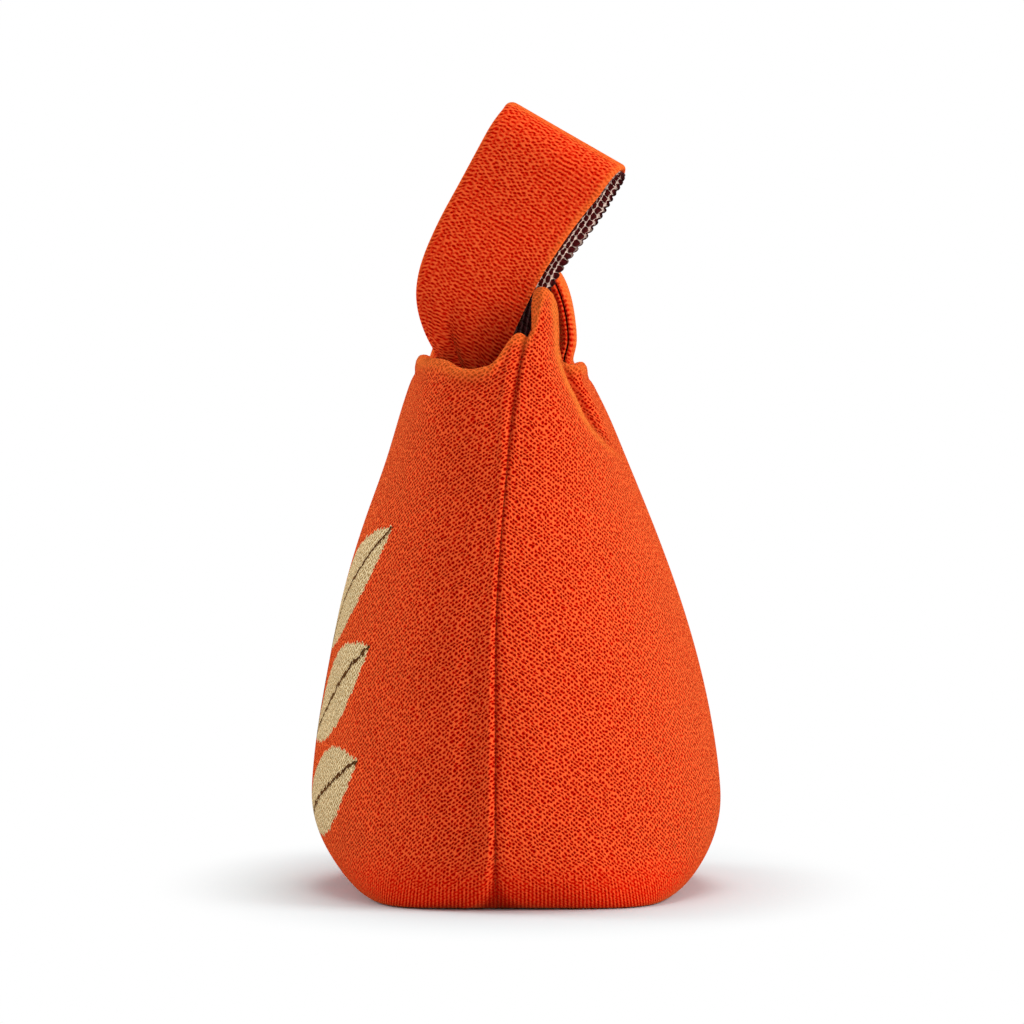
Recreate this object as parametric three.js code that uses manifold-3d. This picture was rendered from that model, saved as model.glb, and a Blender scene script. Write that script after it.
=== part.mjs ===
// Knitted knot bag for a lunch box: a boxed cloth body whose long handle is drawn through a short loop.
// Millimetres, +Z up, origin at the centre of the base. The front panel faces -Y. The short loop is sewn
// in at the near end (+X), the long handle at the far end (-X), and the handle stands up out of the loop.
import * as THREE from 'three';
import { mergeVertices } from 'three/addons/utils/BufferGeometryUtils.js';
import Module from 'manifold-3d';

const { clamp, lerp, smoothstep, degToRad } = THREE.MathUtils;

// Body: two knitted panels, sewn together at the ends and under the base
const BAG_LENGTH = 204; // end to end at the widest level
const BAG_DEPTH = 153; // front to back at the widest level
const FOOT_LENGTH = 164; // flat part of the base
const FRONT_FOOT = 50.5; // from the base seam to the edge of the flat part
const BACK_FOOT = 53.5;
const RIM_LENGTH = 120; // mouth
const RIM_DEPTH = 57.5;
const WIDEST_HEIGHT = 34;
const RIM_HEIGHT = 203;
const TAPER_POWER = 1.54; // how late the walls turn inwards
const WAIST_SQUARENESS = 1.9; // 2 makes the outline an ellipse, more makes it boxy
const RIM_SQUARENESS = 2.8; // the mouth is blunt, from the shoulder up
const SHOULDER_HEIGHT = 150;
const FOOT_SQUARENESS = 3.4; // boxed corners
const FABRIC = 3; // double-faced jacquard knit
const NEAR_SAG = 4; // the mouth's edge sags this much at the near end
const FAR_SAG = 9.5;
const SEAM_RISE = 11; // it climbs at the near side seam, and half as much at the far one
const SEAM_RISE_REACH = 13;
const PEAK_RISE = 26; // the handle pulls the back panel up beside the near seam
const PEAK_OFFSET = 16.7;
const PEAK_REACH = 5.5;
const FOLD_CREST_Y = 15; // a fold runs down from there, outwards to the waist
const FOLD_SPREAD = 33;
const FOLD_TOP = 225;
const FOLD_LOW = 150;
const FOLD_CURVE = 2.1;
const FOLD_HEIGHT = 3.5;
const FOLD_REACH = 15;
const FOLD_STEP = 3;
const FOLD_HOLLOW = 6; // behind the fold
const FOLD_HOLLOW_WIDTH = 17;
const BODY_LEAN = 6.2; // the mouth sits this much nearer the front than the base
const LEAN_POWER = 1.6;

// Seam allowances that stand inside the body
const SEAM_DEPTH = 7;
const SEAM_WIDTH = 4.4;
const SEAM_SETBACK = 4; // from the mouth's edge to the end of the side seams
const CORNER_SEAM_INSET = 11; // boxing seam, from the end of the flat base

// Short loop: a folded strap over the handle
const LOOP_WIDTH = 30;
const LOOP_THICKNESS = 7;
const LOOP_RISE = 38; // top of the loop above the mouth's edge
const LOOP_SPAN = 50; // outside width just above the mouth
const LOOP_CENTRE_X = 2;
const LOOP_CENTRE_Y = -4;
const LOOP_TILT = 7; // its top leans this far to the far end
const LOOP_ROOT_DEPTH = 19; // sewn in this far below the mouth's edge

// Long handle: a wide band folded into a tall loop
const HANDLE_WIDTH = 50; // at its top fold
const HANDLE_NECK_WIDTH = 39; // where it comes out of the short loop
const HANDLE_RISE = 67; // along the band from the sway axis to the top of the fold
const HANDLE_LEAN_DEG = 34;
const HANDLE_BEND = 40; // the lean grows over this much of its length
const HANDLE_X = 31; // midway between its two layers
const HANDLE_Y = -13;
const HANDLE_DEPTH = 22; // outside to outside over both layers
const HANDLE_SPLAY = 6.5; // the rear layer shows this much past the front one
const BAND_THICKNESS = 2.4;
const LINING_THICKNESS = 1.6;

// Gathered neck of the handle, and the two legs that run from it to the far end
const NECK_WIDTH = 20;
const NECK_THICKNESS = 21;
const NECK_DEPTH = 17; // it reaches this far below the mouth's edge
const NECK_BASE_Y = -5;
const LEG_WIDTH = 23;
const LEG_THICKNESS = 6;
const LEG_ROOT_X = -34;
const LEG_CREST = 6; // the legs arch this far over the mouth's edge
const LEG_BUNCH_HEIGHT = 13; // each leg, bunched up beside the neck

// Rows of tacking stitches over the sewn ends
const TACK_WIDTH = 3;
const TACK_THICKNESS = 1.2;
const TACK_DEPTH = 3; // from the end of the strap to the row
const TACK_SHARE = 0.6; // of the strap's width

const GAP = 0.3; // between pieces that touch
const PANEL_GAP = 0.4;
const SWING_CLEARANCE = 2; // under the handle's round lower end

const wasm = await Module();
wasm.setup();

const orangeKnit = new THREE.MeshStandardMaterial({ color: 0xd8421c, roughness: 0.95, metalness: 0 });
const maroonKnit = new THREE.MeshStandardMaterial({ color: 0x5a1218, roughness: 0.95, metalness: 0 });
const orangeYarn = new THREE.MeshStandardMaterial({ color: 0xc93a18, roughness: 0.9, metalness: 0 });

const bell = (t) => Math.exp(-t * t);
const bend = (v, power) => Math.sign(v) * Math.abs(v) ** power;

// Point of a boxy oval with the given half sizes
function oval(angle, halfA, halfB, squareness) {
  const power = 2 / squareness;
  return [halfA * bend(Math.cos(angle), power), halfB * bend(Math.sin(angle), power)];
}

// Closed solid through a row of equal rings, with a fan on each end
function loft(rings) {
  const count = rings[0].length;
  const centre = (ring) => ring
    .reduce((sum, point) => sum.add(point), new THREE.Vector3())
    .divideScalar(count);
  const points = [...rings.flat(), centre(rings[0]), centre(rings.at(-1))];
  const start = points.length - 2;
  const end = points.length - 1;
  const last = (rings.length - 1) * count;
  const index = [];
  for (let i = 0; i < count; i++) {
    const next = (i + 1) % count;
    index.push(start, next, i, end, last + i, last + next);
    for (let row = 0; row < last; row += count) {
      const [a, b, c, d] = [row + i, row + next, row + count + next, row + count + i];
      index.push(a, b, c, a, c, d);
    }
  }
  return new THREE.BufferGeometry().setFromPoints(points).setIndex(index);
}

// Solid along stations that each have a centre, two directions and two half sizes
function sweep(stations, sides = 16, squareness = 3) {
  return loft(stations.map(({ centre, across, normal, halfWidth, halfThickness }) =>
    Array.from({ length: sides }, (_, i) => {
      const angle = (2 * Math.PI * (i + 0.5)) / sides;
      const [u, v] = oval(angle, halfWidth, halfThickness, squareness);
      return centre.clone().addScaledVector(across, u).addScaledVector(normal, v);
    })));
}

function solidOf(geometry) {
  const bare = mergeVertices(geometry.clone().deleteAttribute('normal').deleteAttribute('uv'), 1e-4);
  return new wasm.Manifold(new wasm.Mesh({
    numProp: 3,
    vertProperties: bare.attributes.position.array,
    triVerts: new Uint32Array(bare.index.array),
  }));
}

function geometryOf(solid) {
  const { vertProperties, triVerts } = solid.getMesh();
  return new THREE.BufferGeometry()
    .setAttribute('position', new THREE.BufferAttribute(vertProperties, 3))
    .setIndex(new THREE.BufferAttribute(triVerts, 1));
}

// The body's shape

// Half of a wall-to-wall size at a height above the widest level
function taperedHalf(widest, rim, z, inset) {
  const share = Math.max(0, (z - WIDEST_HEIGHT) / (RIM_HEIGHT - WIDEST_HEIGHT));
  return widest / 2 - inset - ((widest - rim) / 2) * share ** TAPER_POWER;
}

const halfLengthAt = (z, inset) => taperedHalf(BAG_LENGTH, RIM_LENGTH, z, inset);
const halfDepthAt = (z, inset) => taperedHalf(BAG_DEPTH, RIM_DEPTH, Math.min(z, RIM_HEIGHT), inset);
const leanAt = (z) => -BODY_LEAN * clamp(z / RIM_HEIGHT, 0, 1) ** LEAN_POWER;
const squarenessAt = (z) => lerp(WAIST_SQUARENESS, RIM_SQUARENESS, smoothstep(z, SHOULDER_HEIGHT, RIM_HEIGHT));

// Share of one half size that is left at a share of the other
const ovalRest = (share, squareness) => (1 - Math.min(1, share) ** squareness) ** (1 / squareness);

// Distance of the inner wall from the middle plane, front or back, at a place along the bag
const innerDepthAt = (x, z) =>
  halfDepthAt(z, FABRIC) * ovalRest(Math.abs(x) / halfLengthAt(z, FABRIC), squarenessAt(z));

const nearEndAt = (angle) => smoothstep(Math.cos(angle), 0, 0.4);

function rimAt(angle) {
  const across = oval(angle, 0, RIM_DEPTH / 2, RIM_SQUARENESS)[1];
  const nearEnd = nearEndAt(angle);
  const peak = PEAK_RISE * nearEnd * bell((across - PEAK_OFFSET) / PEAK_REACH);
  const climb = SEAM_RISE * lerp(0.5, 1, nearEnd) * bell(across / SEAM_RISE_REACH);
  return RIM_HEIGHT - lerp(FAR_SAG, NEAR_SAG, nearEnd) + climb + peak;
}

// How far the pulled-up fold stands out from the near end, with the hollow behind it
function foldAt(angle, y, z) {
  const down = Math.max(0, (FOLD_TOP - z) / (FOLD_TOP - FOLD_LOW));
  const beyond = y - FOLD_CREST_Y - FOLD_SPREAD * down ** FOLD_CURVE;
  const crest = FOLD_HEIGHT * bell(beyond / (beyond < 0 ? FOLD_REACH : FOLD_STEP));
  const hollow = FOLD_HOLLOW * smoothstep(beyond, 0, FOLD_STEP)
    * (1 - smoothstep(beyond, FOLD_HOLLOW_WIDTH / 2, FOLD_HOLLOW_WIDTH));
  const shown = Math.sin(angle) > 0 ? nearEndAt(angle) * smoothstep(z, FOLD_LOW, RIM_HEIGHT) : 0;
  return shown * (crest - hollow);
}

// One point of the wall: level 0 to 1 climbs the round foot, 1 to 2 the wall up to the mouth
function wallPoint(angle, level, inset) {
  let z;
  let halfLength;
  let halfDepth;
  let squareness;
  if (level < 1) {
    const turn = (level * Math.PI) / 2;
    z = inset + (WIDEST_HEIGHT - inset) * (1 - Math.cos(turn));
    halfLength = lerp(FOOT_LENGTH / 2, BAG_LENGTH / 2 - inset, Math.sin(turn));
    halfDepth = lerp(Math.sin(angle) < 0 ? FRONT_FOOT : BACK_FOOT, BAG_DEPTH / 2 - inset, Math.sin(turn));
    squareness = lerp(FOOT_SQUARENESS, WAIST_SQUARENESS, level);
  } else {
    z = lerp(WIDEST_HEIGHT, rimAt(angle), level - 1);
    halfLength = halfLengthAt(z, inset);
    halfDepth = halfDepthAt(z, inset);
    squareness = squarenessAt(z);
  }
  const [x, across] = oval(angle, halfLength, halfDepth, squareness);
  const y = across + leanAt(z);
  return new THREE.Vector3(x + foldAt(angle, y, z), y, z);
}

// The open cup of cloth: outer wall up, a rounded lip, inner wall down
function bodyShell() {
  const sides = 72;
  const footRows = 5;
  const wallRows = 12;
  const angles = Array.from({ length: sides }, (_, i) => (2 * Math.PI * i) / sides);
  const levels = [
    ...Array.from({ length: footRows }, (_, i) => i / footRows),
    ...Array.from({ length: wallRows + 1 }, (_, i) => 1 + i / wallRows),
  ];
  const ring = (level, inset) => angles.map((angle) => wallPoint(angle, level, inset));
  const lip = ring(2, FABRIC / 2);
  lip.forEach((point) => point.setZ(point.z + FABRIC / 2));
  const outer = levels.map((level) => ring(level, 0));
  const inner = levels.toReversed().map((level) => ring(level, FABRIC));
  return loft([...outer, lip, ...inner]);
}

// Half of the shell, on one side of the plane that holds all the seams
function panel(side) {
  const reach = 2 * (BAG_LENGTH + RIM_HEIGHT + PEAK_RISE);
  const half = new THREE.BoxGeometry(reach, reach, reach)
    .translate(0, side * (reach / 2 + PANEL_GAP / 2), 0);
  return geometryOf(solidOf(bodyShell()).intersect(solidOf(half)));
}

// Seam allowance inside one end: a strip that follows the wall from the mouth to the boxing seam
function sideSeam(end) {
  const low = WIDEST_HEIGHT / 2;
  const footShare = (z) => Math.sqrt(1 - (1 - (z - FABRIC) / (WIDEST_HEIGHT - FABRIC)) ** 2);
  const aside = (z) => (SEAM_WIDTH / 2 - leanAt(z)) / halfDepthAt(z, FABRIC);
  const wallAt = (z) => (z < WIDEST_HEIGHT
    ? lerp(FOOT_LENGTH / 2, BAG_LENGTH / 2 - FABRIC, footShare(z))
    : halfLengthAt(z, FABRIC) * ovalRest(aside(z), squarenessAt(z)));
  const top = rimAt(end > 0 ? 0 : Math.PI) - SEAM_SETBACK;
  const steps = 14;
  const rows = Array.from({ length: steps + 1 }, (_, i) => lerp(low, top, i / steps));
  const stations = rows.map((z) => ({
    centre: new THREE.Vector3(end * (wallAt(z) - 2 * GAP - SEAM_DEPTH / 2), 0, z),
    across: new THREE.Vector3(1, 0, 0),
    normal: new THREE.Vector3(0, 1, 0),
    halfWidth: SEAM_DEPTH / 2,
    halfThickness: SEAM_WIDTH / 2,
  }));
  return sweep(stations, 8);
}

// Low ridge on the inside of the base, between two points
function floorSeam(from, to) {
  const along = new THREE.Vector3().subVectors(to, from).normalize();
  const normal = new THREE.Vector3(0, 0, 1);
  const across = new THREE.Vector3().crossVectors(normal, along);
  const lift = new THREE.Vector3(0, 0, FABRIC + GAP + SEAM_DEPTH / 2);
  return sweep([from, to].map((point) => ({
    centre: point.clone().add(lift),
    across,
    normal,
    halfWidth: SEAM_WIDTH / 2,
    halfThickness: SEAM_DEPTH / 2,
  })), 8);
}

const cornerSeamX = FOOT_LENGTH / 2 - CORNER_SEAM_INSET;
const cornerShare = (cornerSeamX + SEAM_WIDTH / 2) / (FOOT_LENGTH / 2);
const cornerSeamReach = FRONT_FOOT * ovalRest(cornerShare, FOOT_SQUARENESS) - GAP;
const baseSeamReach = cornerSeamX - SEAM_WIDTH / 2 - GAP;

const baseSeam = () => floorSeam(
  new THREE.Vector3(-baseSeamReach, 0, 0),
  new THREE.Vector3(baseSeamReach, 0, 0),
);

const cornerSeam = (end) => floorSeam(
  new THREE.Vector3(end * cornerSeamX, -cornerSeamReach, 0),
  new THREE.Vector3(end * cornerSeamX, cornerSeamReach, 0),
);

// The short loop

const loopRootZ = RIM_HEIGHT - LOOP_ROOT_DEPTH;
const loopHalf = LOOP_THICKNESS / 2;

// Stations from the sewn end at the back, over the handle, to the sewn end at the front
function loopStations() {
  const halfSpan = LOOP_SPAN / 2 - loopHalf;
  const top = RIM_HEIGHT + LOOP_RISE - loopHalf;
  const wallY = innerDepthAt(Math.abs(LOOP_CENTRE_X) + 0.4 * LOOP_WIDTH, loopRootZ);
  const wallSlope = (innerDepthAt(0, loopRootZ) - innerDepthAt(0, RIM_HEIGHT)) / LOOP_ROOT_DEPTH;
  const seat = wallY - loopHalf * Math.hypot(1, wallSlope) - GAP;
  const point = (y, z) => new THREE.Vector3(
    LOOP_CENTRE_X - LOOP_TILT * smoothstep(z, RIM_HEIGHT, top), y, z);
  const half = (side) => {
    const rootY = side * seat + leanAt(loopRootZ);
    const legY = side * halfSpan + LOOP_CENTRE_Y;
    return [
      point(rootY, loopRootZ),
      point(lerp(rootY, legY, 0.85), RIM_HEIGHT - LOOP_ROOT_DEPTH / 2),
      point(legY, lerp(RIM_HEIGHT, top, 0.25)),
      point(side * halfSpan * 0.75 + LOOP_CENTRE_Y, lerp(RIM_HEIGHT, top, 0.75)),
    ];
  };
  const path = new THREE.CatmullRomCurve3(
    [...half(1), point(LOOP_CENTRE_Y, top), ...half(-1).reverse()]);
  const steps = 28;
  return Array.from({ length: steps + 1 }, (_, i) => {
    const tangent = path.getTangentAt(i / steps);
    const across = new THREE.Vector3(1, 0, 0).addScaledVector(tangent, -tangent.x).normalize();
    return {
      centre: path.getPointAt(i / steps),
      across,
      normal: new THREE.Vector3().crossVectors(tangent, across),
      halfWidth: LOOP_WIDTH / 2,
      halfThickness: loopHalf,
    };
  });
}

// Row of tacking stitches on the inner face of a strap, a little way along from its sewn end
function tack(stations, fromStart, inward) {
  const list = fromStart ? stations : stations.toReversed();
  const station = list.find(({ centre }) => centre.distanceTo(list[0].centre) >= TACK_DEPTH);
  const lift = inward * (station.halfThickness + 2 * GAP + TACK_THICKNESS / 2);
  const centre = station.centre.clone().addScaledVector(station.normal, lift);
  const reach = station.halfWidth * TACK_SHARE;
  const along = new THREE.Vector3().crossVectors(station.across, station.normal);
  return sweep([-reach, reach].map((offset) => ({
    centre: centre.clone().addScaledVector(station.across, offset),
    across: station.normal,
    normal: along.clone().negate(),
    halfWidth: TACK_THICKNESS / 2,
    halfThickness: TACK_WIDTH / 2,
  })).toReversed(), 8);
}

// The long handle

const pivotRadius = HANDLE_NECK_WIDTH / 2;
const foldStart = HANDLE_RISE - HANDLE_DEPTH / 2;
const pivotZ = RIM_HEIGHT + FABRIC / 2 + SWING_CLEARANCE + pivotRadius;

// Middle line of the band in the sway plane, at a distance along it from the sway axis
function handleLine(along) {
  const lean = (s) => degToRad(HANDLE_LEAN_DEG) * smoothstep(s, 0, HANDLE_BEND);
  const steps = 24;
  const step = along / steps;
  let y = HANDLE_Y;
  let z = pivotZ;
  for (let i = 0; i < steps; i++) {
    const angle = lean((i + 0.5) * step);
    y += Math.sin(angle) * step;
    z += Math.cos(angle) * step;
  }
  return { y, z, angle: lean(along) };
}

// Half width of the band: round below the sway axis, widening to the fold above it
function handleHalfWidth(along) {
  if (along <= 0) return Math.sqrt(Math.max(0, pivotRadius ** 2 - along ** 2));
  return lerp(pivotRadius, HANDLE_WIDTH / 2, smoothstep(along, 0, foldStart));
}

// One layer of cloth that runs up the front, over the fold and down the back
function handleLayer(inset, thickness) {
  const reach = HANDLE_DEPTH / 2 - inset - thickness / 2;
  const low = -pivotRadius * 0.96;
  const rows = 18;
  const turns = 8;
  const up = Array.from({ length: rows + 1 }, (_, i) => lerp(low, foldStart, i / rows));
  const station = (along, x, climb, rear) => {
    const { y, z, angle } = handleLine(along);
    const across = new THREE.Vector3(0, Math.cos(angle), -Math.sin(angle));
    const rise = new THREE.Vector3(0, Math.sin(angle), Math.cos(angle));
    const tangent = rise.clone().multiplyScalar(climb).setX(-Math.sqrt(1 - climb ** 2));
    const shift = rear * HANDLE_SPLAY
      * smoothstep(along, low, HANDLE_BEND / 3)
      * smoothstep(foldStart - along, 0, HANDLE_BEND / 2);
    const spare = along < 0 ? shift : 0;
    return {
      centre: new THREE.Vector3(x, y, z).addScaledVector(across, shift - spare / 2),
      across,
      normal: new THREE.Vector3().crossVectors(tangent, across),
      halfWidth: handleHalfWidth(along) - inset - spare / 2,
      halfThickness: thickness / 2,
    };
  };
  const fold = Array.from({ length: turns - 1 }, (_, i) => (Math.PI * (i + 1)) / turns);
  return sweep([
    ...up.map((along) => station(along, HANDLE_X + reach, 1, 0)),
    ...fold.map((turn) => station(
      foldStart + reach * Math.sin(turn), HANDLE_X + reach * Math.cos(turn), Math.cos(turn), 0)),
    ...up.toReversed().map((along) => station(along, HANDLE_X - reach, -1, 1)),
  ], 12, 4);
}

const neckLow = RIM_HEIGHT - NECK_DEPTH;
const neckHigh = pivotZ - pivotRadius / 2;

// Gathered cloth under the band, with a round seat that the band's lower end sways in
function handleNeck() {
  const steps = 6;
  const plug = sweep(Array.from({ length: steps + 1 }, (_, i) => {
    const share = i / steps;
    return {
      centre: new THREE.Vector3(
        HANDLE_X, lerp(NECK_BASE_Y, HANDLE_Y, share ** 2), lerp(neckLow, neckHigh, share)),
      across: new THREE.Vector3(1, 0, 0),
      normal: new THREE.Vector3(0, 1, 0),
      halfWidth: NECK_THICKNESS / 2,
      halfThickness: NECK_WIDTH / 2,
    };
  }), 24);
  const seat = new THREE.CylinderGeometry(pivotRadius + GAP, pivotRadius + GAP, 2 * HANDLE_WIDTH, 64)
    .rotateZ(Math.PI / 2)
    .translate(HANDLE_X, HANDLE_Y, pivotZ);
  return geometryOf(solidOf(plug).subtract(solidOf(seat)));
}

// How a leg lies against the wall at a height: its distance from the middle plane and its turn
function legSeat(z) {
  const reach = LEG_WIDTH / 2;
  const [farY, nearY] = [-reach, reach].map((offset) => innerDepthAt(LEG_ROOT_X + offset, z));
  const wallSlope = (innerDepthAt(LEG_ROOT_X, loopRootZ) - innerDepthAt(LEG_ROOT_X, RIM_HEIGHT))
    / LOOP_ROOT_DEPTH;
  return {
    y: (farY + nearY) / 2 - (LEG_THICKNESS / 2) * Math.hypot(1, wallSlope) - GAP,
    turn: Math.atan2(nearY - farY, LEG_WIDTH),
  };
}

// Stations of one leg from its sewn end at the far end to the neck, front (-1) or back (1)
function legStations(side) {
  const { y: rootY, turn: wallTurn } = legSeat(loopRootZ);
  const bendZ = loopRootZ + LOOP_ROOT_DEPTH / 2;
  const bendY = legSeat(bendZ).y - LEG_THICKNESS / 2;
  const neckY = NECK_BASE_Y + (side * NECK_WIDTH) / 4;
  const neckX = HANDLE_X - NECK_THICKNESS / 2 - GAP;
  const neckZ = neckLow + LEG_BUNCH_HEIGHT / 2;
  const passX = LOOP_CENTRE_X - LOOP_WIDTH / 2 - 2 * GAP;
  const crest = RIM_HEIGHT + LEG_CREST - LEG_BUNCH_HEIGHT / 2;
  const lean = leanAt(loopRootZ);
  const wallY = side * rootY + lean;
  const path = new THREE.CatmullRomCurve3([
    new THREE.Vector3(LEG_ROOT_X, wallY, loopRootZ),
    new THREE.Vector3(LEG_ROOT_X, side * bendY + lean, bendZ),
    new THREE.Vector3(lerp(LEG_ROOT_X, passX, 0.4), lerp(wallY, neckY, 0.65), crest),
    new THREE.Vector3(passX, lerp(wallY, neckY, 0.97), crest),
    new THREE.Vector3(lerp(passX, neckX, 0.5), neckY, lerp(crest, neckZ, 0.5)),
    new THREE.Vector3(neckX, neckY, neckZ),
  ]);
  const steps = 20;
  return Array.from({ length: steps + 1 }, (_, i) => {
    const share = i / steps;
    const tangent = i === steps ? new THREE.Vector3(1, 0, 0) : path.getTangentAt(share);
    const turn = side * wallTurn * (1 - smoothstep(share, 0, 0.5));
    const facing = new THREE.Vector3(-Math.sin(turn), Math.cos(turn), 0);
    const normal = facing.addScaledVector(tangent, -facing.dot(tangent)).normalize();
    const bunch = smoothstep(share, 0.1, 0.6);
    return {
      centre: path.getPointAt(share),
      across: new THREE.Vector3().crossVectors(normal, tangent),
      normal,
      halfWidth: lerp(LEG_WIDTH, LEG_BUNCH_HEIGHT, bunch) / 2,
      halfThickness: lerp(LEG_THICKNESS, NECK_WIDTH / 2 - 2 * GAP, bunch) / 2,
    };
  });
}

// The assembly

const bag = new THREE.Group();

function add(name, geometry, material) {
  const mesh = new THREE.Mesh(geometry, material);
  mesh.name = name;
  bag.add(mesh);
}

const loop = loopStations();
const frontLeg = legStations(-1);
const backLeg = legStations(1);

add('front_panel', panel(-1), orangeKnit);
add('back_panel', panel(1), orangeKnit);
add('near_side_seam', sideSeam(1), orangeYarn);
add('far_side_seam', sideSeam(-1), orangeYarn);
add('base_seam', baseSeam(), orangeYarn);
add('near_corner_seam', cornerSeam(1), orangeYarn);
add('far_corner_seam', cornerSeam(-1), orangeYarn);
add('short_loop', sweep(loop), orangeKnit);
add('short_loop_back_tack', tack(loop, true, -1), orangeYarn);
add('short_loop_front_tack', tack(loop, false, -1), orangeYarn);
add('handle_front_leg', sweep(frontLeg), orangeKnit);
add('handle_back_leg', sweep(backLeg), orangeKnit);
add('handle_front_tack', tack(frontLeg, true, 1), orangeYarn);
add('handle_back_tack', tack(backLeg, true, -1), orangeYarn);
add('handle_neck', handleNeck(), orangeKnit);
add('long_handle', handleLayer(0, BAND_THICKNESS), orangeKnit);
add('long_handle_lining', handleLayer(BAND_THICKNESS + GAP, LINING_THICKNESS), maroonKnit);

export default bag;
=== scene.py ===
# Knitted knot bag for a lunch box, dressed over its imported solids. The front panel faces -Y.
import math
from functools import partial

import bmesh
import bpy
import numpy as np
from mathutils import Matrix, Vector


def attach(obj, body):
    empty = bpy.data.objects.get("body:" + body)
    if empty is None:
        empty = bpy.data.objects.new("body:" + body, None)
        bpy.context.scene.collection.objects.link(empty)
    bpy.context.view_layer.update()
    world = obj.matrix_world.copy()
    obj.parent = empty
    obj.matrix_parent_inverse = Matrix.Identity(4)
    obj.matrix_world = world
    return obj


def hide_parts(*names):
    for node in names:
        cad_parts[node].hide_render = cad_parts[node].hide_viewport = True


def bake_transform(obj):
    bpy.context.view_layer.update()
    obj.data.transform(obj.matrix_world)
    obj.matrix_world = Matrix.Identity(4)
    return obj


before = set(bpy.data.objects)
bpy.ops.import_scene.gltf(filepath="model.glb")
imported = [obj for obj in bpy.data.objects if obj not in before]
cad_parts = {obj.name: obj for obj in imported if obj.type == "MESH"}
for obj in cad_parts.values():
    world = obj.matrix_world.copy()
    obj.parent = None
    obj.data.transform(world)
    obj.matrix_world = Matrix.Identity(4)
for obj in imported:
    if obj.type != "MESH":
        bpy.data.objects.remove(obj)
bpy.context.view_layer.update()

# Camera
# A long lens looks at the narrow end of the bag from a little above its middle, as for a catalogue.
# It stands far off, so that the walls hardly converge.
LENS_MM = 560
LENS_DISTANCE = 6.0
LENS_RISE_DEG = 4.5
AIM = Vector((0, -0.0019, 0.141))

scene = bpy.context.scene
scene.view_settings.view_transform = "Standard"
lens = bpy.data.cameras.new("camera")
lens.sensor_width = 36
lens.lens = LENS_MM
lens.clip_end = 50
camera = bpy.data.objects.new("camera", lens)
scene.collection.objects.link(camera)
rise = math.radians(LENS_RISE_DEG)
camera.location = AIM + LENS_DISTANCE * Vector((math.cos(rise), 0, math.sin(rise)))
camera.rotation_euler = (AIM - camera.location).to_track_quat("-Z", "Y").to_euler()
scene.camera = camera

# Studio
# A pale matt floor under a white surround. Broad soft lamps stand on both sides, the right one stronger,
# with a weak one in front and one overhead, so the edges are lit and the left half stays a little darker.
FLOOR_SIZE, FLOOR_DROP = 12, 0.0004
FLOOR_PALE = (0.73, 0.79, 0.80, 1)
WHITE_FROM, WHITE_BY = 0.10, 0.21  # the floor turns to plain white to the camera over this distance
WHITE_ACROSS = 1.5  # and sooner to the sides
SURROUND_LIGHT = 0.25
LAMPS = {  # place, width and power
    "right_lamp": ((0.7, 2.0, 1.2), 1.2, 38),
    "left_lamp": ((-0.7, -2.0, 0.9), 1.2, 27),
    "front_lamp": ((3.0, 0.4, 0.7), 1.6, 19),
    "top_lamp": ((-0.3, 0.15, 2.3), 1.3, 20),
}


def put(tree, socket, value):
    if isinstance(value, bpy.types.NodeSocket):
        tree.links.new(value, socket)
    else:
        socket.default_value = value


def put_all(tree, node, values):
    for name, value in values.items():
        put(tree, node.inputs[name], value)


# Outputs of a new shader node with its settings, and with values or links in its first or named sockets
def new_node(tree, kind, *values, named=None, **settings):
    node = tree.nodes.new("ShaderNode" + kind)
    for name, setting in settings.items():
        setattr(node, name, setting)
    for socket, value in zip(node.inputs, values):
        put(tree, socket, value)
    put_all(tree, node, named or {})
    return node.outputs


def calculate(tree, operation, *values, **settings):
    return new_node(tree, "Math", *values, operation=operation, **settings)[0]


def new_finish(name):
    finish = bpy.data.materials.new(name)
    finish.use_nodes = True
    return finish, finish.node_tree, finish.node_tree.nodes["Principled BSDF"]


half_floor = FLOOR_SIZE / 2
floor_signs = ((-1, -1), (1, -1), (1, 1), (-1, 1))
floor_corners = [(x * half_floor, y * half_floor, -FLOOR_DROP) for x, y in floor_signs]
floor_mesh = bpy.data.meshes.new("floor")
floor_mesh.from_pydata(floor_corners, [], [(0, 1, 2, 3)])
floor = bpy.data.objects.new("floor", floor_mesh)
scene.collection.objects.link(floor)
floor_finish, floor_tree, floor_shader = new_finish("pale_floor")
put_all(floor_tree, floor_shader, {"Base Color": FLOOR_PALE, "Roughness": 0.9, "Specular IOR Level": 0.1})
ground = new_node(floor_tree, "NewGeometry")["Position"]
oval = new_node(floor_tree, "VectorMath", ground, (1, WHITE_ACROSS, 1), operation="MULTIPLY")["Vector"]
away = new_node(floor_tree, "VectorMath", oval, operation="LENGTH")["Value"]
fade = new_node(floor_tree, "MapRange", away, WHITE_FROM, WHITE_BY, interpolation_type="SMOOTHSTEP")[0]
floor_seen = new_node(floor_tree, "LightPath")["Is Camera Ray"]
plain_white = new_node(floor_tree, "Emission")[0]
white_share = calculate(floor_tree, "MULTIPLY", fade, floor_seen)
blank = new_node(floor_tree, "MixShader", white_share, floor_shader.outputs[0], plain_white)[0]
put(floor_tree, floor_tree.nodes["Material Output"].inputs["Surface"], blank)
floor_mesh.materials.append(floor_finish)

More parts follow.
